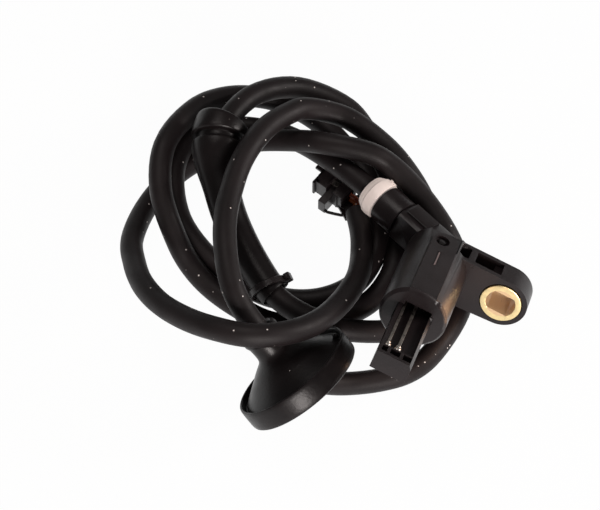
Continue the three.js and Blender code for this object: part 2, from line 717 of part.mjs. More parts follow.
let housingOpen = housing;
[-1, 1].forEach((side) => {
  const y = side * PITCH_HALF;
  housingOpen = housingOpen
    .subtract(
      box(
        [-TERMINAL_HALF - GAP, y - TERMINAL_HALF - GAP, SHELL_BACK + 1],
        [TERMINAL_HALF + GAP, y + TERMINAL_HALF + GAP, CAVITY_FRONT],
      ),
    )
    .subtract(
      box(
        [-BLADE_WIDTH_HALF - GAP, y - BLADE_HALF - GAP, CAVITY_FRONT - 1],
        [BLADE_WIDTH_HALF + GAP, y + BLADE_HALF + GAP, NOSE_LENGTH],
      ),
    );
});
add("connector_housing", MOULDED, shell(housingOpen), connectorFrame);

// Rubber seal with two holes, and the terminals in front of it
const WIRE_END = SHELL_BACK + SEAL_DEPTH + 1.2;
const wireHole = (side) =>
  turned(
    [
      [0, SHELL_BACK - 2],
      [WIRE_RADIUS + GAP, SHELL_BACK - 2],
      [WIRE_RADIUS + GAP, WIRE_END + GAP],
      [0, WIRE_END + GAP],
    ],
    16,
  ).translate([0, side * PITCH_HALF, 0]);
const wireSeal = box(
  [-SEAL_HALF_WIDTH, -SEAL_HALF_HEIGHT, SHELL_BACK - 0.3],
  [SEAL_HALF_WIDTH, SEAL_HALF_HEIGHT, SHELL_BACK + SEAL_DEPTH],
)
  .subtract(wireHole(-1))
  .subtract(wireHole(1));
add("wire_seal", SOFT_RUBBER, shell(wireSeal), connectorFrame);

[-1, 1].forEach((side) => {
  const y = side * PITCH_HALF;
  const terminal = box(
    [-TERMINAL_HALF, y - TERMINAL_HALF, WIRE_END + GAP],
    [TERMINAL_HALF, y + TERMINAL_HALF, CAVITY_FRONT - GAP],
  ).add(
    box(
      [-BLADE_WIDTH_HALF, y - BLADE_HALF, CAVITY_FRONT - 1],
      [BLADE_WIDTH_HALF, y + BLADE_HALF, NOSE_LENGTH - 0.9],
    ),
  );
  add(side < 0 ? "terminal_lower" : "terminal_upper", TINNED, shell(terminal), connectorFrame);
});

// Lock loop on the left side of the housing, open from above
const lockShape = new THREE.Shape();
const lockOutline = [
  [SHELL_LEFT + GAP, BAND_BACK - GAP],
  [BAND_LEFT - 0.4, BAND_BACK - GAP],
  [6.7, -3.7],
  [6.6, -5.4],
  [4.9, -9.6],
  [SHELL_LEFT + GAP, -9.6],
];
lockOutline.forEach(([x, z], i) => (i ? lockShape.lineTo(x, -z) : lockShape.moveTo(x, -z)));
lockShape.closePath();
const loopHole = new THREE.Path();
const loopOutline = [[4.2, -3.4], [5.3, -3.4], [5.9, -4.1], [5.8, -5.6], [4.4, -5.9]];
loopOutline.forEach(([x, z], i) => (i ? loopHole.lineTo(x, -z) : loopHole.moveTo(x, -z)));
loopHole.closePath();
lockShape.holes.push(loopHole);
const LOCK_LOW = -3.2;
const LOCK_HIGH = 0.6;
const lock = raised(lockShape, LOCK_LOW, LOCK_HIGH).rotate([-90, 0, 0]);
add("connector_lock", MOULDED, shell(lock), connectorFrame);

// Two signal wires from the jacket to the connector

const WIRE_STEPS = 10;
const WIRE_SIDES = 8;
const wireSection = new THREE.Shape();
for (let k = 0; k < WIRE_SIDES; k += 1) {
  const turn = (2 * Math.PI * k) / WIRE_SIDES;
  const x = WIRE_RADIUS * Math.cos(turn);
  const y = WIRE_RADIUS * Math.sin(turn);
  if (k === 0) wireSection.moveTo(x, y);
  else wireSection.lineTo(x, y);
}
wireSection.closePath();
[-1, 1].forEach((side) => {
  const name = side < 0 ? "signal_wire_orange" : "signal_wire_brown";
  const inConnector = (z) => V(0, side * PITCH_HALF, z).applyMatrix4(connectorFrame);
  const inJacket = (z) => V(side * WIRE_OFFSET, 0, z).applyMatrix4(endFrame);
  const path = new THREE.CatmullRomCurve3(
    [
      inJacket(-WIRE_ROOT),
      inJacket(0),
      inJacket(0.9),
      inConnector(SHELL_BACK - 2.2),
      inConnector(SHELL_BACK - 0.6),
      inConnector(WIRE_END),
    ],
    false,
    "centripetal",
  );
  const geometry = new THREE.ExtrudeGeometry(wireSection, {
    steps: WIRE_STEPS,
    extrudePath: path,
    bevelEnabled: false,
  });
  add(name, side < 0 ? ORANGE_WIRE : BROWN_WIRE, shell(solid(geometry)));
});

export default object;
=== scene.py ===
# %% [markdown]
# # A wheel speed sensor with its coiled cable
#
# The real object is a sensor from a car's wheel hub. A plastic head holds a flat
# sensing tip, a bolt ear with a brass bushing and a short neck. About a metre of
# 6 mm cable leaves the neck, and it carries a rubber boot, a rubber panel grommet
# and a small two-way connector. It lies coiled on a white table.
#
# The solids of the part are loaded first as a fixed frame. Every visible piece is
# then made in the same place with finer edges and its own finish.

import math

import bmesh
import bpy
from mathutils import Matrix, Vector


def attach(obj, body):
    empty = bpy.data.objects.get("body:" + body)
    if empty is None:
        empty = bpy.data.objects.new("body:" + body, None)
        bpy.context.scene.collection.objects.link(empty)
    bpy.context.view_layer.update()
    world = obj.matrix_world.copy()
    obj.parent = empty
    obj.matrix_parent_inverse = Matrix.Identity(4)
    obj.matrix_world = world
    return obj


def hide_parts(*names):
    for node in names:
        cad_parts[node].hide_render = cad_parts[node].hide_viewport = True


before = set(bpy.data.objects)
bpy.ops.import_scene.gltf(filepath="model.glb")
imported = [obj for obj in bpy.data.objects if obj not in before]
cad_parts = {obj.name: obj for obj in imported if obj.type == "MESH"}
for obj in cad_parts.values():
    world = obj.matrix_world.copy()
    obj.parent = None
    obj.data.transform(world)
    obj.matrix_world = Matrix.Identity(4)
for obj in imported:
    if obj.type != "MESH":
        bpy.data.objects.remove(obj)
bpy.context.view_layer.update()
MM = 0.001
print("nodes in the frame:", len(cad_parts))

# %% [markdown]
# ## The pose of the head
#
# The head leans on the coil with its tip raised. Three turns describe that lie: the
# tip rises, it swings aside, and the head rolls about its own barrel. The three
# directions that follow from the turns are used by every piece of the head, so they
# are worked out once.

# %% Directions of the head
HEAD_RISE = math.radians(26.5)
HEAD_SWING = math.radians(19)
HEAD_ROLL = math.radians(-12)
barrel_way = Vector(
    (
        -math.sin(HEAD_SWING) * math.cos(HEAD_RISE),
        -math.cos(HEAD_SWING) * math.cos(HEAD_RISE),
        math.sin(HEAD_RISE),
    )
)
level_way = Vector((0, 0, 1)).cross(barrel_way).normalized()
ear_way = level_way * math.cos(HEAD_ROLL) + barrel_way.cross(level_way) * math.sin(HEAD_ROLL)
top_way = barrel_way.cross(ear_way)


def place_matrix(x_way, y_way, z_way, spot):
    """Carries local X, Y and Z to three directions at a spot."""
    turn = Matrix((x_way, y_way, z_way)).transposed()
    return Matrix.Translation(spot) @ turn.to_4x4()


def pointing_matrix(direction, hint, spot):
    """Points local Z along a direction and keeps local X near a hint."""
    z_way = Vector(direction).normalized()
    y_way = z_way.cross(Vector(hint)).normalized()
    return place_matrix(y_way.cross(z_way), y_way, z_way, spot)


head_place = place_matrix(ear_way, top_way, barrel_way, Vector((0, 0, 0)))
print("barrel points along", [round(v, 3) for v in barrel_way])

# %% [markdown]
# ## The camera
#
# The photograph looks down at the coil from 62 degrees above the table. A long lens
# half a metre away gives the same slight perspective. The camera comes first so that
# every later piece can be compared with the picture as soon as it exists.

# %% Camera
CAMERA_SPOT = Vector((-21.49, -190.4, 414.47)) * MM
CAMERA_HEIGHT_ANGLE = math.radians(62)
camera_data = bpy.data.cameras.new("photo_camera")
camera_data.sensor_width = 36
camera_data.lens = 115.38
camera_data.clip_start = 0.01
camera = bpy.data.objects.new("photo_camera", camera_data)
camera.location = CAMERA_SPOT
camera.rotation_euler = (math.pi / 2 - CAMERA_HEIGHT_ANGLE, 0, 0)
bpy.context.scene.collection.objects.link(camera)
bpy.context.scene.camera = camera
print("camera at", [round(v, 4) for v in CAMERA_SPOT])

# %% [markdown]
# ## The route of the cable
#
# The cable is the largest thing in the picture, so its route decides the likeness.
# The points follow the middle of the cable from the neck, round the coil, through
# the boot and the grommet, to the connector. A smooth curve through all of them is
# the same kind of curve that the solids use, so both lie in the same place.

# %% Points of the route
NECK_ANGLE = math.radians(25.6)
neck_root = head_place @ (Vector((0, 0, -50.2)) * MM)
neck_way = head_place.to_3x3() @ Vector((-math.cos(NECK_ANGLE), 0, -math.sin(NECK_ANGLE)))
neck_place = pointing_matrix(neck_way, head_place.to_3x3() @ Vector((0, 0, 1)), neck_root)


def neck_spot(distance_mm):
    """A spot on the middle line of the neck."""
    return neck_root + neck_way * distance_mm * MM


ROUTE_MM = [
    (-8.5, 67, -23.5), (-12, 70.8, -25), (-16.5, 75.3, -26.6), (-21, 79.6, -28.8),
    (-27, 84, -31.2), (-34.5, 86.5, -32.5), (-41, 86.5, -32), (-47, 84, -30),
    (-51.5, 79.5, -27), (-55, 68.5, -25.5), (-53, 56.5, -30), (-44.5, 45.5, -33),
    (-37.5, 40, -33), (-30, 35.7, -33), (-22, 34.1, -33), (-14.5, 35, -33),
    (-7.6, 38.6, -33), (-3, 44.9, -33), (-0.7, 52.4, -33), (-1, 59.5, -33),
    (-2.1, 66.7, -33), (-4.8, 74, -33), (-9.7, 81.2, -33), (-15, 87.5, -33),
    (-21.5, 92.5, -33), (-29, 95, -31.5), (-37, 94.6, -29), (-43.8, 91.7, -26),
    (-49.6, 86.7, -23), (-57.1, 72.9, -19), (-57.8, 60, -21), (-53.7, 48.7, -26.5),
    (-50.4, 43.5, -30), (-45.4, 38.1, -32), (-38.1, 32.6, -33), (-29.8, 28, -33),
    (-20.5, 26.8, -33), (-10.5, 29.5, -33), (-3, 34, -33), (1.9, 40.7, -33),
    (4.4, 49, -33), (5.6, 58, -33), (4.3, 67.2, -33), (0.8, 76.4, -33),
    (-3.4, 85.4, -32.5), (-8.5, 91.5, -30.5), (-22, 94, -24), (-34, 88, -18.5),
    (-41.5, 77, -16), (-42.8, 70.5, -16), (-42.9, 64.5, -17.5), (-41.5, 58, -19),
    (-40, 53, -21), (-34.3, 41.1, -23.2), (-26.5, 30, -24.6), (-15.5, 24.3, -26.6),
    (-8.5, 23.5, -29), (4.5, 26, -33), (9.5, 29.5, -33), (15.5, 42, -33),
    (15, 50, -33), (13.5, 58.5, -33), (10.5, 65.5, -31), (6.5, 71, -28),
    (2, 76, -26), (-6.5, 81.5, -22), (-11, 83.5, -21), (-20.5, 83.3, -17.5),
    (-25, 80.2, -15.5), (-29.9, 74.7, -12.6), (-34.1, 67.5, -10.2), (-37, 60.4, -8.9),
    (-38.9, 52.7, -7.8), (-40.1, 45, -6.5), (-40.1, 36, -5.4), (-38.2, 24.5, -5.5),
    (-35.2, 18.9, -8.2), (-31.1, 14.8, -12), (-27.5, 11.6, -15.5), (-23.8, 8.9, -19.9),
    (-19.5, 8.2, -24.8), (-14.5, 8.9, -29.2), (-8, 10, -31.8), (-0.5, 11.6, -33),
    (5.7, 13.6, -33), (11.3, 17.7, -33), (19.5, 30.4, -33), (21, 37.5, -33),
    (20.3, 42.4, -31.2), (17.6, 48.9, -27), (10.8, 59.5, -24), (2.2, 67.7, -20.5),
    (-3, 70, -18.5), (-15.5, 73.5, -19), (-21, 76, -22), (-33.5, 79, -27),
    (-39.5, 78.5, -28.5), (-45, 78, -31), (-54.5, 72.5, -33), (-61.5, 63.5, -32.5),
    (-65.4, 49, -27.5), (-64.2, 40.6, -24), (-61.3, 31.7, -19), (-56.2, 23.9, -14.5),
    (-49.3, 17.5, -10), (-42, 12.9, -6), (-34, 10.2, -4), (-26.5, 11, -5),
    (-19.5, 14.5, -8), (-14, 20.5, -12.5), (-9.5, 28, -17), (-6.5, 36, -21.5),
    (-5.5, 44, -25.5), (-5.5, 51.5, -28), (-6.5, 58.5, -29.5),
]
route_points = [neck_spot(17), neck_spot(28)]
route_points += [Vector(point) * MM for point in ROUTE_MM]
print("route points:", len(route_points))

# %% [markdown]
# ## A smooth line through the points
#
# A centripetal curve passes through each point without loops or sharp swings, even
# where the points are unevenly spaced. Each stretch between two points is cut into
# short steps. The running distance along the steps lets a later piece, such as the
# boot, ask for the place and direction at so many millimetres from the neck.

# %% Sample the route
STEPS_PER_STRETCH = 6


def stretch_spot(before, start, end, after, part):
    """One spot of a centripetal curve between start and end."""
    times = [0.0]
    for one, two in ((before, start), (start, end), (end, after)):
        times.append(times[-1] + math.sqrt((two - one).length))
    t0, t1, t2, t3 = times
    t = t1 + (t2 - t1) * part
    a1 = before * ((t1 - t) / (t1 - t0)) + start * ((t - t0) / (t1 - t0))
    a2 = start * ((t2 - t) / (t2 - t1)) + end * ((t - t1) / (t2 - t1))
    a3 = end * ((t3 - t) / (t3 - t2)) + after * ((t - t2) / (t3 - t2))
    b1 = a1 * ((t2 - t) / (t2 - t0)) + a2 * ((t - t0) / (t2 - t0))
    b2 = a2 * ((t3 - t) / (t3 - t1)) + a3 * ((t - t1) / (t3 - t1))
    return b1 * ((t2 - t) / (t2 - t1)) + b2 * ((t - t1) / (t2 - t1))


def smooth_line(points, steps):
    """Samples a smooth curve through all the points."""
    first = points[0] * 2 - points[1]
    last = points[-1] * 2 - points[-2]
    padded = [first] + list(points) + [last]
    line = []
    for i in range(1, len(padded) - 2):
        for k in range(steps):
            line.append(stretch_spot(*padded[i - 1 : i + 3], k / steps))
    line.append(points[-1].copy())
    return line


cable_line = smooth_line(route_points, STEPS_PER_STRETCH)
cable_run = [0.0]
for one, two in zip(cable_line, cable_line[1:]):
    cable_run.append(cable_run[-1] + (two - one).length)
CABLE_LENGTH = cable_run[-1]
print("cable length in metres:", round(CABLE_LENGTH, 4))

# %% [markdown]
# ## Node helpers for the finishes
#
# Every finish starts from one shader, and noise on the object's own coordinates
# breaks up its colour, its gloss and its surface. The coordinates are in metres, so
# a scale of 1000 makes features about a millimetre across.

# %% Start a finish


def new_finish(name, colour, roughness, metallic=0.0):
    """A material with one shader, and the tools to add detail to it."""
    material = bpy.data.materials.new(name)
    material.use_nodes = True
    nodes = material.node_tree.nodes
    links = material.node_tree.links
    shader = nodes["Principled BSDF"]
    shader.inputs["Base Color"].default_value = (*colour, 1)
    shader.inputs["Roughness"].default_value = roughness
    shader.inputs["Metallic"].default_value = metallic
    where = nodes.new("ShaderNodeTexCoord")
    return material, nodes, links, shader, where.outputs["Object"]


def noise(nodes, links, where, scale, detail=3.0, roughness=0.5):
    """A noise pattern with so many features to a metre."""
    pattern = nodes.new("ShaderNodeTexNoise")
    pattern.inputs["Scale"].default_value = scale
    pattern.inputs["Detail"].default_value = detail
    pattern.inputs["Roughness"].default_value = roughness
    links.new(where, pattern.inputs["Vector"])
    return pattern.outputs["Fac"]


def ramp(nodes, links, value, low, high, low_out=0.0, high_out=1.0):
    """Stretches part of a value's range over a new range."""
    node = nodes.new("ShaderNodeMapRange")
    node.inputs["From Min"].default_value = low
    node.inputs["From Max"].default_value = high
    node.inputs["To Min"].default_value = low_out
    node.inputs["To Max"].default_value = high_out
    links.new(value, node.inputs["Value"])
    return node.outputs["Result"]


def blend_colours(nodes, links, factor, first, second):
    """Mixes two colours, each a tuple or a socket, by a factor."""
    node = nodes.new("ShaderNodeMix")
    node.data_type = "RGBA"
    links.new(factor, node.inputs["Factor"])
    for socket, colour in (("A", first), ("B", second)):
        target = [s for s in node.inputs if s.name == socket and s.type == "RGBA"][0]
        if isinstance(colour, tuple):
            target.default_value = (*colour, 1)
        else:
            links.new(colour, target)
    return [s for s in node.outputs if s.type == "RGBA"][0]


def add_bump(nodes, links, shader, height, distance, strength=1.0):
    """Adds fine relief to a shader."""
    bump = nodes.new("ShaderNodeBump")
    bump.inputs["Distance"].default_value = distance
    bump.inputs["Strength"].default_value = strength
    links.new(height, bump.inputs["Height"])
    links.new(bump.outputs["Normal"], shader.inputs["Normal"])


# %% [markdown]
# ## Dark plastic, cable skin and rubber
#
# All the dark pieces look alike at first, but they shine differently. The moulded
# head has a fine grain and a soft gloss. The cable's skin is smoother, and small
# pale specks of dust sit on it. The rubber of the boot and grommet is the softest,
# with a broad sheen on its rims.

# %% Dark finishes


def dark_finish(name, colour, lighter, roughness, grain_scale, grain_height, specks):
    """A dark moulded or rubber surface with faint cloudiness, grain and dust."""
    material, nodes, links, shader, where = new_finish(name, colour, roughness)
    shader.inputs["Specular IOR Level"].default_value = 0.32
    clouds = ramp(nodes, links, noise(nodes, links, where, 90, 4), 0.35, 0.7)
    tone = blend_colours(nodes, links, clouds, colour, lighter)
    if specks:
        cells = nodes.new("ShaderNodeTexVoronoi")
        cells.inputs["Scale"].default_value = 340
        links.new(where, cells.inputs["Vector"])
        dot = ramp(nodes, links, cells.outputs["Distance"], specks, specks * 0.6)
        sparse = ramp(nodes, links, noise(nodes, links, where, 160, 1), 0.44, 0.47)
        both = nodes.new("ShaderNodeMath")
        both.operation = "MULTIPLY"
        links.new(dot, both.inputs[0])
        links.new(sparse, both.inputs[1])
        tone = blend_colours(nodes, links, both.outputs[0], tone, (0.75, 0.7, 0.67))
    links.new(tone, shader.inputs["Base Color"])
    gloss = noise(nodes, links, where, 220, 3)
    uneven = ramp(nodes, links, gloss, 0.3, 0.7, roughness - 0.06, roughness + 0.07)
    links.new(uneven, shader.inputs["Roughness"])
    add_bump(nodes, links, shader, noise(nodes, links, where, grain_scale, 2), grain_height)
    return material


head_moulding = dark_finish(
    "head_moulding", (0.012, 0.0088, 0.0094), (0.0175, 0.0128, 0.0136), 0.34, 3200, 0.00004, 0.0
)
jacket_skin = dark_finish(
    "jacket_skin", (0.0085, 0.0061, 0.0064), (0.0135, 0.0097, 0.0102), 0.52, 2200, 0.00003, 0.085
)
boot_rubber = dark_finish(
    "boot_rubber", (0.0055, 0.0041, 0.0043), (0.0088, 0.0065, 0.0068), 0.36, 1600, 0.00003, 0.04
)
jacket_shader = jacket_skin.node_tree.nodes["Principled BSDF"]
jacket_shader.inputs["Specular IOR Level"].default_value = 0.27
boot_shader = boot_rubber.node_tree.nodes["Principled BSDF"]
boot_shader.inputs["Specular IOR Level"].default_value = 0.24
print("dark finishes:", head_moulding.name, jacket_skin.name, boot_rubber.name)

# %% [markdown]
# ## Brass, steel and the small bright pieces
#
# The bushing is turned brass with fine rings from the tool. The strips in the tip
# and the pin are duller metal. The pale ring on the neck is warm white plastic, with a
# faint painted glow that lightens it.

# %% Bright finishes


def metal_finish(name, colour, roughness, scale=900):
    """A metal with uneven polish and fine scratches."""
    material, nodes, links, shader, where = new_finish(name, colour, roughness, 1.0)
    polish = noise(nodes, links, where, scale, 4, 0.6)
    uneven = ramp(nodes, links, polish, 0.3, 0.7, roughness * 0.7, roughness * 1.35)
    links.new(uneven, shader.inputs["Roughness"])
    darker = tuple(c * 0.8 for c in colour)
    links.new(blend_colours(nodes, links, polish, darker, colour), shader.inputs["Base Color"])
    add_bump(nodes, links, shader, noise(nodes, links, where, scale * 3, 2), 0.00001)
    return material


def soft_finish(name, colour, shade, roughness, grain=1500):
    """A plain plastic or wire skin with faint cloudiness and grain."""
    material, nodes, links, shader, where = new_finish(name, colour, roughness)
    clouds = noise(nodes, links, where, 250, 4)
    links.new(blend_colours(nodes, links, clouds, shade, colour), shader.inputs["Base Color"])
    add_bump(nodes, links, shader, noise(nodes, links, where, grain, 2), 0.00002)
    return material


turned_brass = metal_finish("turned_brass", (1, 0.79, 0.42), 0.38)
plain_steel = metal_finish("plain_steel", (0.05, 0.045, 0.045), 0.35)
tinned_strip = metal_finish("tinned_strip", (0.5, 0.47, 0.43), 0.34)
magnet_face = metal_finish("magnet_face", (0.12, 0.12, 0.13), 0.5)
ring_plastic_painted_glow = soft_finish("ring_plastic_painted_glow", (0.97, 0.85, 0.79), (0.86, 0.75, 0.7), 0.42)
# The ridge of the panel's mark is painted pale: a painted highlight along the raised rib.
ridge_painted_highlight = soft_finish("ridge_painted_highlight", (0.22, 0.17, 0.17), (0.12, 0.09, 0.09), 0.5)
# The ring also gets a faint painted glow: a small warm emission that lightens the whole ring.
ring_glow_shader = ring_plastic_painted_glow.node_tree.nodes["Principled BSDF"]
ring_glow_shader.inputs["Emission Color"].default_value = (1, 0.88, 0.82, 1)
ring_glow_shader.inputs["Emission Strength"].default_value = 0.1
chip_case = soft_finish("chip_case", (0.01, 0.01, 0.01), (0.02, 0.02, 0.02), 0.35)
orange_cover = soft_finish("orange_cover", (0.7, 0.2, 0.06), (0.55, 0.14, 0.04), 0.45)
brown_cover = soft_finish("brown_cover", (0.32, 0.075, 0.035), (0.24, 0.05, 0.025), 0.45)
print("bright finishes ready")

# %% [markdown]
# ## Turning a worked mesh into a piece
#
# Every piece is modelled in a bmesh, and this helper turns it into an object. The object
# stays at the origin, its place is in its mesh, and it rides on the part. The solids
# it stands for are hidden, and it gets its finish.


def declare_piece(piece, material, stands_for):
    """Gives a piece its finish and its body, and hides the solids it stands for."""
    piece.data.materials.clear()
    piece.data.materials.append(material)
    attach(piece, "root")
    for node in stands_for:
        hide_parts(node)
    return piece


def finished_piece(name, work, material, stands_for=(), smooth_angle=32, smoothing=0):
    """Turns a bmesh into a piece of the object."""
    bmesh.ops.recalc_face_normals(work, faces=work.faces)
    data = bpy.data.meshes.new(name)
    work.to_mesh(data)
    work.free()
    data.shade_smooth()
    data.set_sharp_from_angle(angle=math.radians(smooth_angle))
    piece = bpy.data.objects.new(name, data)
    bpy.context.scene.collection.objects.link(piece)
    if smoothing:
        rounder = piece.modifiers.new("soft_form", "SUBSURF")
        rounder.levels = smoothing
        rounder.render_levels = smoothing
    else:
        evener = piece.modifiers.new("even_shading", "WEIGHTED_NORMAL")
        evener.mode = "FACE_AREA_WITH_ANGLE"
        evener.keep_sharp = True
    print(name, "faces", len(data.polygons))
    return declare_piece(piece, material, stands_for)


# %% [markdown]
# ## The cable
#
# A cable is a round section carried along one line, so a curve with a bevel is the
# plain choice. It has many points, because a smooth bend matters more here than a
# small file. The ends are capped, as a cut cable is.

# %% Cable
CABLE_DIAMETER = 6 * MM


def round_line(name, line, radius, sides=6):
    """A curve with a round section along a line of spots."""
    data = bpy.data.curves.new(name, "CURVE")
    data.dimensions = "3D"
    data.bevel_depth = radius
    data.bevel_resolution = sides
    data.use_fill_caps = True
    spline = data.splines.new("POLY")
    spline.points.add(len(line) - 1)
    for point, spot in zip(spline.points, line):
        point.co = (*spot, 1)
    spline.use_smooth = True
    item = bpy.data.objects.new(name, data)
    bpy.context.scene.collection.objects.link(item)
    return item


cable = round_line("sensor_cable", cable_line, CABLE_DIAMETER / 2)
declare_piece(cable, jacket_skin, ["cable_jacket"])
print("cable runs from", [round(v, 4) for v in cable_line[0]])

# %% [markdown]
# ## Bending a turned piece onto the cable
#
# The boot is moulded straight and then takes the bend of the cable inside it. So it
# is made straight, by spinning its outline about an axis, and each of its points is
# then moved to the same distance along the cable. The turning frame is carried along
# without twist, so that the mesh doesn't wring.

# %% Frames along the cable
cable_ways = []
for i in range(len(cable_line)):
    ahead = cable_line[min(i + 1, len(cable_line) - 1)]
    behind = cable_line[max(i - 1, 0)]
    cable_ways.append((ahead - behind).normalized())
cable_sides = [cable_ways[0].orthogonal().normalized()]
for one, two in zip(cable_ways, cable_ways[1:]):
    carried = one.rotation_difference(two) @ cable_sides[-1]
    cable_sides.append((carried - two * carried.dot(two)).normalized())


def cable_frame(distance):
    """Place, side and direction at a distance along the cable."""
    low = 0
    high = len(cable_run) - 1
    while high - low > 1:
        middle = (low + high) // 2
        if cable_run[middle] <= distance:
            low = middle
        else:
            high = middle
    part = (distance - cable_run[low]) / (cable_run[high] - cable_run[low])
    spot = cable_line[low].lerp(cable_line[high], part)
    way = cable_ways[low].lerp(cable_ways[high], part).normalized()
    side = cable_sides[low].lerp(cable_sides[high], part)
    side = (side - way * side.dot(way)).normalized()
    return spot, side, way


def nearest_run(spot):
    """Distance along the cable to the sample nearest to a spot."""
    best = min(range(len(cable_line)), key=lambda i: (cable_line[i] - spot).length)
    return cable_run[best]


def spun(outline, steps):
    """Spins a closed outline of (radius, height) pairs, in millimetres, about Z."""
    work = bmesh.new()
    corners = [work.verts.new((r * MM, 0, z * MM)) for r, z in outline]
    edges = [work.edges.new(pair) for pair in zip(corners, corners[1:] + corners[:1])]
    bmesh.ops.spin(
        work,
        geom=corners + edges,
        cent=(0, 0, 0),
        axis=(0, 0, 1),
        angle=2 * math.pi,
        steps=steps,
        use_merge=True,
    )
    bmesh.ops.remove_doubles(work, verts=work.verts, dist=1e-7)
    return work


def bend_onto_cable(work):
    """Moves a straight piece, made along Z, onto the cable."""
    for vert in work.verts:
        spot, side, way = cable_frame(vert.co.z)
        other = way.cross(side)
        vert.co = spot + side * vert.co.x + other * vert.co.y


# %% [markdown]
# ## The rubber boot
#
# The boot seals the cable where it passes a bracket. It has a wide flange, a groove
# that grips the metal, and a long sleeve that tapers along the cable. The flange
# edge gets two close rows of points so that it stays crisp after smoothing.

# %% Boot
boot_flange_run = nearest_run(Vector((-41.8, 75, -16)) * MM) / MM
tie_run = nearest_run(Vector((-28.7, 33.2, -24.4)) * MM) / MM
BOOT_START = boot_flange_run - 2.2
BOOT_END = tie_run + 2.4
SLEEVE_INSIDE = 3.42
boot_length = BOOT_END - BOOT_START
boot_outline = [
    (6.8, 0), (7.3, 0), (7.6, 0.3), (7.7, 0.8), (7.7, 3.7), (7.55, 4.15), (7.2, 4.4),
    (6.2, 4.45), (5.95, 4.6), (5.9, 4.8), (5.9, 5.7), (6.1, 5.95), (6.8, 6.05),
    (7.05, 6.3), (7.1, 6.7), (6.95, 8.3), (6.3, 10.5), (5.6, 13), (5.1, 15), (4.75, 18),
]
sleeve_cuts = 8
for cut in range(1, sleeve_cuts + 1):
    share = cut / sleeve_cuts
    boot_outline.append((4.75 - 0.6 * share, 18 + (boot_length - 18.3) * share))
boot_outline += [(4.0, boot_length), (SLEEVE_INSIDE, boot_length)]
for cut in range(sleeve_cuts - 1, -1, -1):
    boot_outline.append((SLEEVE_INSIDE, 18 + (boot_length - 18) * cut / sleeve_cuts))
boot_outline += [(SLEEVE_INSIDE, 11), (4.4, 8), (4.9, 3.5), (6.2, 0)]
boot_work = spun([(r, BOOT_START + z) for r, z in boot_outline], 40)
bend_onto_cable(boot_work)
cable_boot = finished_piece("rubber_boot", boot_work, boot_rubber, ["cable_boot"], smoothing=1)

# %% [markdown]
# ## The cable tie
#
# A nylon tie clamps the end of the sleeve. The band is a thin ring, and the head is
# a small block with a slot and the cut tail of the band in it.

# %% Cable tie
TIE_BORE = 4.55
TIE_SKEW = math.radians(13)
tie_spot, tie_side, tie_way = cable_frame(tie_run * MM)
tie_view = (tie_spot - CAMERA_SPOT).normalized()
skewed_way = Matrix.Rotation(TIE_SKEW, 3, tie_view) @ tie_way
tie_place = pointing_matrix(skewed_way, (1, 0, 0.35), tie_spot)
tie_work = spun(
    [(TIE_BORE, -0.85), (5.1, -0.85), (5.25, -0.65), (5.25, 0.65), (5.1, 0.85), (TIE_BORE, 0.85)],
    48,
)


def add_block(work, low, high, bevel=0.0, segments=2):
    """Adds a block between two corners, in millimetres, with eased edges."""
    made = bmesh.ops.create_cube(work, size=1)["verts"]
    size = [(b - a) * MM for a, b in zip(low, high)]
    middle = [(b + a) / 2 * MM for a, b in zip(low, high)]
    bmesh.ops.scale(work, vec=size, verts=made)
    bmesh.ops.translate(work, vec=middle, verts=made)
    if bevel:
        edges = list({edge for vert in made for edge in vert.link_edges})
        bmesh.ops.bevel(
            work,
            geom=edges,
            offset=bevel * MM,
            segments=segments,
            profile=0.5,
            affect="EDGES",
            material=-1,
        )
    return work


add_block(tie_work, (4.9, -1.2, -1.15), (6.6, 1.2, 1.15), 0.3)
add_block(tie_work, (5.5, -1.6, -0.6), (6, 1.9, 0.6), 0.1)
bmesh.ops.transform(tie_work, matrix=tie_place, verts=tie_work.verts)
cable_tie = finished_piece("nylon_tie", tie_work, head_moulding, ["cable_tie"])

# %% [markdown]
# ## The panel grommet
#
# The grommet seals the hole in a body panel. It is a hollow rubber bell with a thin
# rim that turns up at its edge, a narrow groove inside the rim, and a cuff that grips
# the cable. A small moulding nub stands in the groove. It is spun like the boot, and
# then pointed along its own axis.

# %% Panel grommet
GROMMET_MOUTH = Vector((-20.4, 5, -22.8)) * MM
GROMMET_WAY = Vector((-0.607, 0.533, 0.589)).normalized()
grommet_outline = [
    (3.6, 19.3), (4.3, 19.4), (4.8, 19.1), (5.1, 18.5), (5.1, 17.3), (4.9, 16.9),
    (4.6, 16.4), (4.5, 14.6), (4.5, 13.0), (4.75, 12.2), (5.5, 11.4), (6.9, 10.55),
    (9.4, 8.6), (12.0, 6.55), (14.1, 4.9), (14.45, 4.5), (14.6, 4.15), (14.85, 4.1),
    (15.05, 4.4), (15.15, 5.0), (15.25, 5.5), (15.4, 5.8), (15.65, 5.9), (15.9, 5.75),
    (16.05, 5.3), (16.1, 1), (16.0, 0.3), (15.5, 0), (13.6, 0), (13.2, 0.3),
    (13.0, 1.1), (12.6, 2.9), (9, 6.4), (5.4, 9.3), (4.1, 11.2), (3.6, 12.6),
]
grommet_work = spun(grommet_outline, 72)
NUB_TURN = math.radians(8)
nub_spot = Vector((14.0 * math.cos(NUB_TURN), 14.0 * math.sin(NUB_TURN), 5.5)) * MM
bmesh.ops.create_uvsphere(
    grommet_work,
    u_segments=16,
    v_segments=10,
    radius=0.8 * MM,
    matrix=Matrix.Translation(nub_spot),
)
grommet_place = pointing_matrix(GROMMET_WAY, (1, 0, 0), GROMMET_MOUTH)
bmesh.ops.transform(grommet_work, matrix=grommet_place, verts=grommet_work.verts)
panel_grommet = finished_piece(
    "rubber_grommet", grommet_work, boot_rubber, ["panel_grommet"], smoothing=1
)

# %% [markdown]
# ## The collar and the pale ring on the neck
#
# The collar closes the neck round the cable, and the pale ring behind it is a
# separate coloured piece with a small notch at its front edge. Both are spun about
# the axis of the neck.

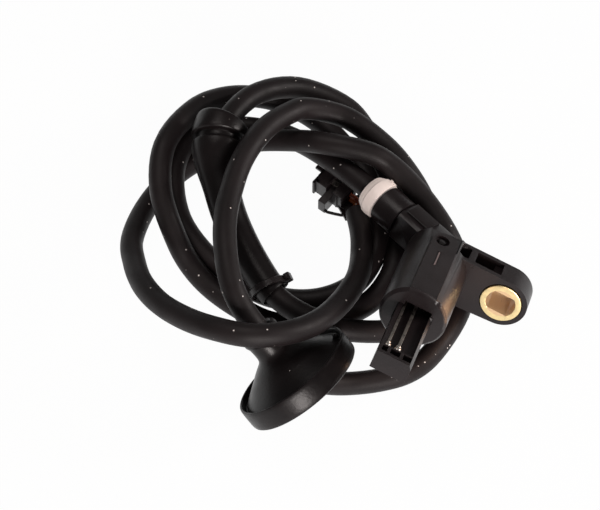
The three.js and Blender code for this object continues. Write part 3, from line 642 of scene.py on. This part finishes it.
# %% Collar and ring
collar_outline = [
    (4.4, 13.7), (4.7, 13.7), (5.05, 13.85), (5.15, 14.2), (5.15, 20.3),
    (5.05, 20.6), (4.8, 20.7), (4.4, 20.7),
]
collar_work = spun(collar_outline, 64)
bmesh.ops.transform(collar_work, matrix=neck_place, verts=collar_work.verts)
neck_collar = finished_piece("collar_on_neck", collar_work, head_moulding, ["neck_collar"])

ring_outline = [
    (3.5, 21.0), (4.9, 21.0), (5.2, 21.15), (5.35, 21.6), (5.43, 22.4), (5.45, 23.2),
    (5.35, 23.9), (5.22, 24.05), (5.05, 24.1), (4.98, 24.25), (4.9, 24.7), (4.8, 24.95),
    (4.65, 25.0), (4.6, 25.15), (4.5, 25.5), (4.3, 25.85), (4.0, 26.0), (3.5, 26.0),
]
ring_work = spun(ring_outline, 64)
bmesh.ops.transform(ring_work, matrix=neck_place, verts=ring_work.verts)
view_way = (neck_spot(23) - CAMERA_SPOT).normalized()
tab_way = view_way.cross(neck_way).normalized()
tab_place = pointing_matrix(neck_way, tab_way, neck_root)
tab_work = bmesh.new()
add_block(tab_work, (4.8, -0.7, 22.6), (5.8, 0.7, 23.3), 0.15)
add_block(tab_work, (4.8, -1.6, 21.1), (5.55, -0.5, 22.4), 0.15)
bmesh.ops.transform(tab_work, matrix=tab_place, verts=tab_work.verts)
tab_mesh = bpy.data.meshes.new("ring_tab")
tab_work.to_mesh(tab_mesh)
tab_work.free()
ring_work.from_mesh(tab_mesh)
bpy.data.meshes.remove(tab_mesh)
seal_ring = finished_piece("pale_ring", ring_work, ring_plastic_painted_glow, ["seal_ring"])

# %% [markdown]
# ## Easing the edges of the moulded pieces
#
# A real moulding has eased edges that catch the light. Flat faces are joined first,
# and then each sharp edge gets a narrow bevel. A small piece starts as a merged copy
# of its solid, and a piece with more detail is cut from blocks further down.

# %% Eased edges


def ease_edges(work, width, segments=2, sharp=28):
    """Joins flat faces and bevels the sharp edges of a worked mesh."""
    bmesh.ops.dissolve_limit(
        work,
        angle_limit=math.radians(0.6),
        verts=work.verts,
        edges=work.edges,
    )
    hard = []
    for edge in work.edges:
        if len(edge.link_faces) == 2 and edge.calc_face_angle(0) > math.radians(sharp):
            hard.append(edge)
    bmesh.ops.bevel(
        work,
        geom=hard,
        offset=width * MM,
        segments=segments,
        profile=0.5,
        affect="EDGES",
        clamp_overlap=True,
        material=-1,
    )


def merged_copy(node):
    """The mesh of a solid with its doubled points merged."""
    work = bmesh.new()
    work.from_mesh(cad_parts[node].data)
    bmesh.ops.remove_doubles(work, verts=work.verts, dist=2e-6)
    return work


def eased_copy(name, node, material, width, segments=2):
    """A merged copy of a solid with narrow bevels on its sharp edges."""
    work = merged_copy(node)
    ease_edges(work, width, segments)
    return finished_piece(name, work, material, [node], smooth_angle=35)


# %% [markdown]
# ## Cutting and joining forms
#
# The moulded head is one solid with many steps and hollows. Forms are joined to it
# or cut from it one after another, in the head's own frame, and the result is turned
# to the lie of the head at the end.

# %% Cut and join


def mesh_of(work, name):
    """A mesh with a bmesh's form, which is freed."""
    bmesh.ops.recalc_face_normals(work, faces=work.faces)
    data = bpy.data.meshes.new(name)
    work.to_mesh(data)
    work.free()
    return data


def combined(work, other, operation):
    """Joins another form to a form, or cuts it away."""
    items = []
    for form, name in ((work, "first_form"), (other, "second_form")):
        item = bpy.data.objects.new(name, mesh_of(form, name))
        bpy.context.scene.collection.objects.link(item)
        items.append(item)
    cutter = items[0].modifiers.new("cut", "BOOLEAN")
    cutter.operation = operation
    cutter.solver = "EXACT"
    cutter.object = items[1]
    seen = items[0].evaluated_get(bpy.context.evaluated_depsgraph_get())
    result = bmesh.new()
    result.from_mesh(seen.to_mesh())
    seen.to_mesh_clear()
    for item in items:
        data = item.data
        bpy.data.objects.remove(item)
        bpy.data.meshes.remove(data)
    bmesh.ops.remove_doubles(result, verts=result.verts, dist=1e-6)
    return result


def block(low, high):
    """A sharp block between two corners, in millimetres."""
    return add_block(bmesh.new(), low, high)


def outline_form(spots, low, high):
    """A form raised along local Z from a flat outline, in millimetres."""
    work = bmesh.new()
    corners = [work.verts.new((x * MM, y * MM, low * MM)) for x, y in spots]
    face = work.faces.new(corners)
    raised_part = bmesh.ops.extrude_face_region(work, geom=[face])["geom"]
    tops = [item for item in raised_part if isinstance(item, bmesh.types.BMVert)]
    bmesh.ops.translate(work, vec=(0, 0, (high - low) * MM), verts=tops)
    return work


def upright(work, x, y, z):
    """Turns a form made along Z to point along Y, at a spot in millimetres."""
    turn = Matrix.Rotation(-math.pi / 2, 4, "X")
    place = Matrix.Translation(Vector((x, y, z)) * MM) @ turn
    bmesh.ops.transform(work, matrix=place, verts=work.verts)
    return work


# %% [markdown]
# ## The moulded head
#
# The head starts as its solid. A flat panel then runs along the barrel, with an
# outlined mark and a round well for a small pin. The ear gets a lower edge that
# slopes, and deep hollows in its long side. A shallow recess opens over the tip.

# %% Sizes of the head
BARREL_END = -20.5
EAR_FRONT = -42.5
BODY_BACK = -49.6
EAR_REACH = 19.1
EAR_RADIUS = 6.85
EAR_SLOPE = 0.06
PANEL_TOP = 8.35
PANEL_LEFT = -3.8
PANEL_RIGHT = 3.2
PIN_X = -1.2
PIN_Z = -43.8
PIN_RADIUS = 1.1
WELL_RADIUS = 1.9
PANEL_END_RADIUS = (PANEL_RIGHT - PANEL_LEFT) / 2
PANEL_MIDDLE = (PANEL_RIGHT + PANEL_LEFT) / 2
MARK_X = -0.75

# %% Head
ear_outline = [(0, -EAR_RADIUS - EAR_SLOPE * EAR_REACH)]
for k in range(33):
    turn = -math.pi / 2 + EAR_SLOPE + (math.pi - EAR_SLOPE) * k / 32
    ear_outline.append((EAR_REACH + EAR_RADIUS * math.cos(turn), EAR_RADIUS * math.sin(turn)))
ear_outline.append((0, EAR_RADIUS))
panel_outline = [(PANEL_RIGHT, -BARREL_END + 0.5), (PANEL_LEFT, -BARREL_END + 0.5)]
for k in range(17):
    turn = math.pi - math.pi * k / 16
    panel_outline.append((
        PANEL_MIDDLE + PANEL_END_RADIUS * math.cos(turn),
        -PIN_Z + PANEL_END_RADIUS * math.sin(turn),
    ))
panel_form = outline_form(panel_outline, 2, PANEL_TOP)
upright(panel_form, 0, 0, 0)
ear_hole = spun([(0.01, -52), (5.65, -52), (5.65, -40), (0.01, -40)], 64)
bmesh.ops.translate(ear_hole, vec=(EAR_REACH * MM, 0, 0), verts=ear_hole.verts)
pin_well = spun([(0.01, -3.9), (PIN_RADIUS + 0.3, -3.9), (PIN_RADIUS + 0.3, -0.9),
                 (WELL_RADIUS, -0.9), (WELL_RADIUS, 2), (0.01, 2)], 40)
HEAD_STEPS = [
    ("DIFFERENCE", block((8.8, -14, -60), (40, 14, -30))),
    ("UNION", panel_form),
    ("UNION", outline_form(ear_outline, BODY_BACK, EAR_FRONT)),
    ("DIFFERENCE", block((PANEL_LEFT, PANEL_TOP, -52), (PANEL_RIGHT, 12, BARREL_END + 1))),
    ("DIFFERENCE", upright(pin_well, PIN_X, PANEL_TOP, PIN_Z)),
    ("DIFFERENCE", ear_hole),
    ("DIFFERENCE", block((3.9, 3.85, BODY_BACK + 1.3), (6.8, 12, EAR_FRONT - 1.3))),
    ("DIFFERENCE", block((8.5, 3.85, BODY_BACK + 1.3), (13.9, 12, EAR_FRONT - 1.3))),
    ("DIFFERENCE", block((13, 5.6, BODY_BACK + 1.3), (15.9, 12, EAR_FRONT - 1.3))),
    ("DIFFERENCE", block((-3.3, 1.3, BARREL_END - 2.6), (3.9, 3.9, BARREL_END + 1))),
]
MARK_STEPS = [
    ("DIFFERENCE", block((MARK_X - 0.5, PANEL_TOP - 0.2, -38.9), (MARK_X + 0.45, 10, -32.8))),
]
head_work = merged_copy("sensor_body")
bmesh.ops.transform(head_work, matrix=head_place.inverted(), verts=head_work.verts)
for operation, form in HEAD_STEPS:
    head_work = combined(head_work, form, operation)
ease_edges(head_work, 0.28)
for operation, form in MARK_STEPS:
    head_work = combined(head_work, form, operation)
bmesh.ops.transform(head_work, matrix=head_place, verts=head_work.verts)
head_body = finished_piece("sensor_head", head_work, head_moulding, ["sensor_body"], 35)

# %% Mark on the panel
mark_work = bmesh.new()
add_block(mark_work, (MARK_X - 0.2, 7, -38.7), (MARK_X + 0.2, PANEL_TOP + 0.1, -33), 0.08)
bmesh.ops.transform(mark_work, matrix=head_place, verts=mark_work.verts)
# The ridge's pale colour is a painted highlight where the rib catches the light.
panel_mark = finished_piece("panel_mark", mark_work, ridge_painted_highlight, smooth_angle=35)

# %% Guide pin
pin_work = spun(
    [(0.01, -3.6), (PIN_RADIUS, -3.6), (PIN_RADIUS, -0.7), (PIN_RADIUS - 0.15, -0.45),
     (0.55, -0.35), (0.01, -0.35)],
    40,
)
upright(pin_work, PIN_X, PANEL_TOP, PIN_Z)
bmesh.ops.transform(pin_work, matrix=head_place, verts=pin_work.verts)
guide_pin = finished_piece("guide_pin", pin_work, plain_steel, ["locating_pin"])

# %% [markdown]
# ## The sensing tip
#
# The tip is a flat tongue with one wide channel along its upper side. Two thin
# tinned strips stand in the channel, and each ends in a drop of solder. Three small
# pockets lie between the channel and the end face. The chip and its magnet sit in
# pockets underneath.

# %% Tip
TIP_HALF_WIDTH = 4.6
TIP_HALF_DEPTH = 2.75
CHANNEL_FLOOR = TIP_HALF_DEPTH - 1.9
CHANNEL_END = -3.4
RIDGE_OUTLINE = [(3.8, 2.8), (4.7, 1.3), (6, 1.3), (6, 4), (3.8, 4)]
tip_work = block((-TIP_HALF_WIDTH, -TIP_HALF_DEPTH, BARREL_END + 0.05), (TIP_HALF_WIDTH, TIP_HALF_DEPTH, 0))
TIP_STEPS = [
    ("UNION", block((-4.4, -2.25, -25.2), (4.4, 2.25, BARREL_END + 1))),
    ("DIFFERENCE", block((-3.5, CHANNEL_FLOOR, -24), (3.75, 4, CHANNEL_END))),
    ("DIFFERENCE", outline_form(RIDGE_OUTLINE, BARREL_END + 0.3, 1)),
    ("DIFFERENCE", block((-3.9, 1.45, -2.95), (-2.5, 4, -1))),
    ("DIFFERENCE", block((-1.7, 1.45, -2.95), (0.8, 4, -1))),
    ("DIFFERENCE", block((1.6, 1.45, -2.95), (3.8, 4, -1))),
    ("DIFFERENCE", block((-2.5, -4, -4.7), (2.5, -0.7, -0.9))),
    ("DIFFERENCE", block((-2.8, -4, -10.5), (2.8, -0.6, -5.3))),
]
for operation, form in TIP_STEPS:
    tip_work = combined(tip_work, form, operation)
ease_edges(tip_work, 0.12)
bmesh.ops.transform(tip_work, matrix=head_place, verts=tip_work.verts)
tip_carrier = finished_piece("tip_tongue", tip_work, head_moulding, ["element_carrier"], 35)

# %% Strips and solder
STRIP_PLACES = {
    "tinned_strip_left": ("lead_strip_left", -3),
    "tinned_strip_right": ("lead_strip_right", -0.25),
}
for name, (node, middle) in STRIP_PLACES.items():
    strip_work = bmesh.new()
    add_block(strip_work, (middle - 0.38, CHANNEL_FLOOR, -23.5), (middle + 0.38, 2.2, CHANNEL_END), 0.1)
    for along, radius in ((-4.2, 0.95), (-5.3, 0.7)):
        bmesh.ops.create_uvsphere(
            strip_work,
            u_segments=20,
            v_segments=12,
            radius=radius * MM,
            matrix=Matrix.Translation(Vector((middle, 1.9, along)) * MM),
        )
    bmesh.ops.transform(strip_work, matrix=head_place, verts=strip_work.verts)
    finished_piece(name, strip_work, tinned_strip, [node])
chip_piece = eased_copy("hall_chip", "sensing_chip", chip_case, 0.15)
magnet_piece = eased_copy("back_magnet", "bias_magnet", magnet_face, 0.2)

# %% [markdown]
# ## The brass bushing
#
# A bolt squeezes this bushing instead of the plastic ear. Its outside is round and
# its bore is a circle with two flats, so loops of points go round both shapes, and
# each loop is bridged to the next. Narrow steps between loops make the chamfers.

# %% Bushing
BUSHING_BACK = -50.6
BUSHING_FRONT = -42.1
LOOP_COUNT = 96


def round_loop(radius, height):
    """Spots round a circle, in millimetres."""
    turns = [2 * math.pi * k / LOOP_COUNT for k in range(LOOP_COUNT)]
    return [(EAR_REACH + radius * math.cos(t), radius * math.sin(t), height) for t in turns]


def bore_loop(grow, height, bore_radius=3.8, flat=2.8):
    """Spots round a circle cut by two flats, in millimetres."""
    spots = []
    reach = bore_radius + grow
    limit = flat + grow
    for k in range(LOOP_COUNT):
        t = 2 * math.pi * k / LOOP_COUNT
        across = max(-limit, min(limit, reach * math.sin(t)))
        spots.append((EAR_REACH + reach * math.cos(t), across, height))
    return spots


def bridged(loops):
    """A closed skin over loops of spots, the last joined to the first."""
    work = bmesh.new()
    rings = []
    for spots in loops:
        corners = [work.verts.new(Vector(spot) * MM) for spot in spots]
        rings.append([work.edges.new(pair) for pair in zip(corners, corners[1:] + corners[:1])])
    for one, two in zip(rings, rings[1:] + rings[:1]):
        bmesh.ops.bridge_loops(work, edges=one + two)
    return work


bushing_work = bridged(
    [
        round_loop(5.1, BUSHING_BACK),
        round_loop(5.4, BUSHING_BACK + 0.3),
        round_loop(5.4, BUSHING_FRONT - 0.3),
        round_loop(5.32, BUSHING_FRONT - 0.1),
        round_loop(5.15, BUSHING_FRONT),
        bore_loop(0.25, BUSHING_FRONT),
        bore_loop(0.07, BUSHING_FRONT - 0.08),
        bore_loop(0, BUSHING_FRONT - 0.25),
        bore_loop(0, BUSHING_BACK + 0.25),
        bore_loop(0.25, BUSHING_BACK),
    ]
)
bmesh.ops.transform(bushing_work, matrix=head_place, verts=bushing_work.verts)
brass_bushing = finished_piece("brass_bushing", bushing_work, turned_brass, ["compression_bushing"])

# %% [markdown]
# ## The dull bore of the bushing
#
# The face of the bushing is bright, and its bore is dull and tan. The distance from
# the bushing's axis tells the two apart, so the finish fades from metal to a dull
# coat within a tenth of a millimetre at the edge of the bore.

# %% Dull bore
nodes = turned_brass.node_tree.nodes
links = turned_brass.node_tree.links
shader = nodes["Principled BSDF"]
where = nodes["Texture Coordinate"].outputs["Object"]
bushing_middle = head_place @ (Vector((EAR_REACH, 0, 0)) * MM)


def vector_step(operation, first, second):
    """One vector sum on a socket and a fixed vector or another socket."""
    node = nodes.new("ShaderNodeVectorMath")
    node.operation = operation
    links.new(first, node.inputs[0])
    if isinstance(second, Vector):
        node.inputs[1].default_value = second
    else:
        links.new(second, node.inputs[1])
    return node


from_axis = vector_step("SUBTRACT", where, bushing_middle)
beside_axis = vector_step("CROSS_PRODUCT", from_axis.outputs["Vector"], barrel_way)
reach = nodes.new("ShaderNodeVectorMath")
reach.operation = "LENGTH"
links.new(beside_axis.outputs["Vector"], reach.inputs[0])
metal_share = ramp(nodes, links, reach.outputs["Value"], 3.82 * MM, 3.92 * MM)
brass_tone = shader.inputs["Base Color"].links[0].from_socket
tone = blend_colours(nodes, links, metal_share, (0.72, 0.5, 0.28), brass_tone)
links.new(tone, shader.inputs["Base Color"])
links.new(metal_share, shader.inputs["Metallic"])

# %% [markdown]
# ## The connector and its wires
#
# The cable ends in a small two-way connector that lies on its side under the coil.
# Its housing is put together from blocks with eased edges, round an open mating
# cavity. A thin lock loop hangs on its side. Two thin wires leave the cut jacket and
# enter the seal at the back of the housing.

# %% Connector pieces
PLUG_SPOT = Vector((-13.7, 69.3, -32.6)) * MM
plug_place = pointing_matrix((-0.78, 0.626, 0), (-0.626, -0.78, 0), PLUG_SPOT)
HOUSING_BLOCKS = {
    "core behind the mating face": ((-3, -3, -1.5), (3.2, 3, 1.2)),
    "upper wall of the nose": ((-3, 2.5, 1.1), (3.2, 3, 2.3)),
    "lower wall of the nose": ((-3, -3, 1.1), (3.2, -2.5, 3.2)),
    "near wall of the nose": ((2.2, -3, 1.1), (3.2, 3, 2.3)),
    "far wall of the nose": ((-3, -3, 1.1), (-2.2, 3, 4.1)),
    "near lip": ((3.0, -3.2, 2.1), (3.8, 2.7, 2.8)),
    "upper lip": ((-3.2, 2.3, 2.1), (3.8, 2.7, 2.8)),
    "key tongue": ((-3.2, 1.7, 2.6), (-0.3, 2.6, 5.0)),
    "ridge on top": ((-0.5, 2.8, -1.5), (2.3, 3.3, -1.1)),
    "band that sticks out": ((-3.2, -3.3, -3.8), (6.7, 1.5, -1.5)),
    "shell over the seal": ((-3, -3.3, -7), (3.2, 3, -3.6)),
    "first side rib": ((3.0, -3, -5.3), (3.55, 2.7, -4.8)),
    "second side rib": ((3.0, -3, -6.9), (3.55, 2.7, -6.4)),
    "strain relief": ((1.1, -3.3, -9.5), (3.6, -0.6, -6.8)),
}
housing_work = bmesh.new()
for low, high in HOUSING_BLOCKS.values():
    add_block(housing_work, low, high, 0.16)
bmesh.ops.transform(housing_work, matrix=plug_place, verts=housing_work.verts)
housing_piece = finished_piece("plug_housing", housing_work, head_moulding, ["connector_housing"])
seal_piece = eased_copy("plug_wire_seal", "wire_seal", boot_rubber, 0.12)
terminal_low = eased_copy("plug_terminal_low", "terminal_lower", tinned_strip, 0.08)
terminal_high = eased_copy("plug_terminal_high", "terminal_upper", tinned_strip, 0.08)

# %% Dark plate of painted shade under the wires
# A dark plate under the wires is painted shade: it fills the gaps between the wires and the ring with
# darkness, and stands for no part.
shade_plate_start = plug_place @ (Vector((0, 0, -6)) * MM)
shade_plate_way = (cable_line[-1] - shade_plate_start).normalized()
shade_plate_middle = (shade_plate_start + cable_line[-1]) / 2 - Vector((0, 0, 2.9)) * MM
shade_plate_place = pointing_matrix(shade_plate_way, (0, 0, 1), shade_plate_middle)
shade_plate_work = add_block(bmesh.new(), (-0.5, -5, -4.4), (0.5, 3, 3.6), 0.15)
bmesh.ops.transform(shade_plate_work, matrix=shade_plate_place, verts=shade_plate_work.verts)
shade_plate_piece = finished_piece("plug_painted_shade_plate", shade_plate_work, head_moulding)

# %% Lock loop
LOOP_SPOTS = [
    (4.6, -1.6, -2.6), (5.5, -1.8, -2.7), (6.3, -2, -3.3), (6.5, -2, -4.3),
    (6.1, -1.9, -5.6), (5.5, -1.7, -7.2), (4.9, -1.4, -8.6), (3.3, -1.9, -9.2),
]
loop_line = smooth_line([plug_place @ (Vector(spot) * MM) for spot in LOOP_SPOTS], 6)
lock_piece = round_line("plug_lock_loop", loop_line, 0.42 * MM, 4)
declare_piece(lock_piece, head_moulding, ["connector_lock"])
print("housing blocks:", len(HOUSING_BLOCKS))

# %% Signal wires
last_way = (cable_line[-1] - cable_line[-4]).normalized()
jacket_place = pointing_matrix(last_way, (1, 0, 0), cable_line[-1])
WIRE_BULGE = Vector((0.3, -0.1, 0)) * MM
for side, name, material, node in (
    (-1, "orange_wire", orange_cover, "signal_wire_orange"),
    (1, "brown_wire", brown_cover, "signal_wire_brown"),
):
    spots = [jacket_place @ (Vector((side * 1.35, 0, z)) * MM) for z in (-4, 0, 0.9)]
    inner = [plug_place @ (Vector((0, side * 1.25, z)) * MM) for z in (-9.2, -7.6, -3.6)]
    spots.append((spots[-1] + inner[0]) / 2 + WIRE_BULGE)
    spots += inner
    wire = round_line(name, smooth_line(spots, 8), 0.65 * MM, 4)
    declare_piece(wire, material, [node])

# %% [markdown]
# ## The free cable
#
# The cable is free and flexible.

# %% [markdown]
# ## The table and the light
#
# The picture has a white ground with hardly any shadow. The floor shows white to the
# camera with a little of its real shading mixed in, so a faint shadow stays. Three
# soft lamps and a pale world light the dark plastic from the front and above.

# %% Floor
FLOOR_HEIGHT = -36.15 * MM
floor_work = bmesh.new()
bmesh.ops.create_grid(floor_work, x_segments=1, y_segments=1, size=3)
bmesh.ops.translate(floor_work, vec=(0, 0, FLOOR_HEIGHT), verts=floor_work.verts)
floor_data = bpy.data.meshes.new("white_table")
floor_work.to_mesh(floor_data)
floor_work.free()
floor = bpy.data.objects.new("white_table", floor_data)
bpy.context.scene.collection.objects.link(floor)
floor_paint, nodes, links, floor_shader, where = new_finish("table_white", (0.9, 0.9, 0.9), 0.7)
glow = nodes.new("ShaderNodeEmission")
glow.inputs["Color"].default_value = (1, 1, 1, 1)
glow.inputs["Strength"].default_value = 1.0
path = nodes.new("ShaderNodeLightPath")
seen = nodes.new("ShaderNodeMath")
seen.operation = "MAXIMUM"
links.new(path.outputs["Is Camera Ray"], seen.inputs[0])
links.new(path.outputs["Is Glossy Ray"], seen.inputs[1])
seen_at_all = nodes.new("ShaderNodeMath")
seen_at_all.operation = "MAXIMUM"
links.new(seen.outputs[0], seen_at_all.inputs[0])
links.new(path.outputs["Is Transmission Ray"], seen_at_all.inputs[1])
share = nodes.new("ShaderNodeMath")
share.operation = "MULTIPLY"
share.inputs[1].default_value = 0.97
links.new(seen_at_all.outputs[0], share.inputs[0])
mixed = nodes.new("ShaderNodeMixShader")
links.new(share.outputs[0], mixed.inputs["Fac"])
links.new(floor_shader.outputs[0], mixed.inputs[1])
links.new(glow.outputs[0], mixed.inputs[2])
links.new(mixed.outputs[0], nodes["Material Output"].inputs["Surface"])
floor_data.materials.append(floor_paint)

# %% Lamps and world


def soft_lamp(name, spot, aim, size, power, colour=(1, 0.93, 0.9)):
    """A square area lamp that faces a point."""
    data = bpy.data.lights.new(name, "AREA")
    data.shape = "SQUARE"
    data.size = size
    data.energy = power
    data.color = colour
    lamp = bpy.data.objects.new(name, data)
    lamp.location = spot
    lamp.rotation_euler = (Vector(aim) - Vector(spot)).to_track_quat("-Z", "Y").to_euler()
    bpy.context.scene.collection.objects.link(lamp)
    return lamp


COIL_MIDDLE = (-0.02, 0.045, -0.02)
soft_lamp("front_lamp", (0.1, -0.85, 0.35), COIL_MIDDLE, 0.36, 9)
soft_lamp("top_lamp", (-0.2, 0.35, 0.8), COIL_MIDDLE, 0.4, 1.5)
glow_spot = head_place @ (Vector((18, 7, -30)) * MM)
glow_aim = head_place @ (Vector((6, 6, -28)) * MM)
glow_lamp = soft_lamp("warm_glow", glow_spot, glow_aim, 0.014, 0.0028, (1, 0.52, 0.25))
glow_lamp.visible_camera = False
soft_lamp("side_lamp", (0.75, 0.1, 0.3), COIL_MIDDLE, 0.3, 4)
world = bpy.data.worlds.new("pale_room")
world.use_nodes = True
world.node_tree.nodes["Background"].inputs["Color"].default_value = (1, 0.95, 0.93, 1)
world.node_tree.nodes["Background"].inputs["Strength"].default_value = 0.13
bpy.context.scene.world = world
bpy.context.scene.view_settings.view_transform = "Standard"
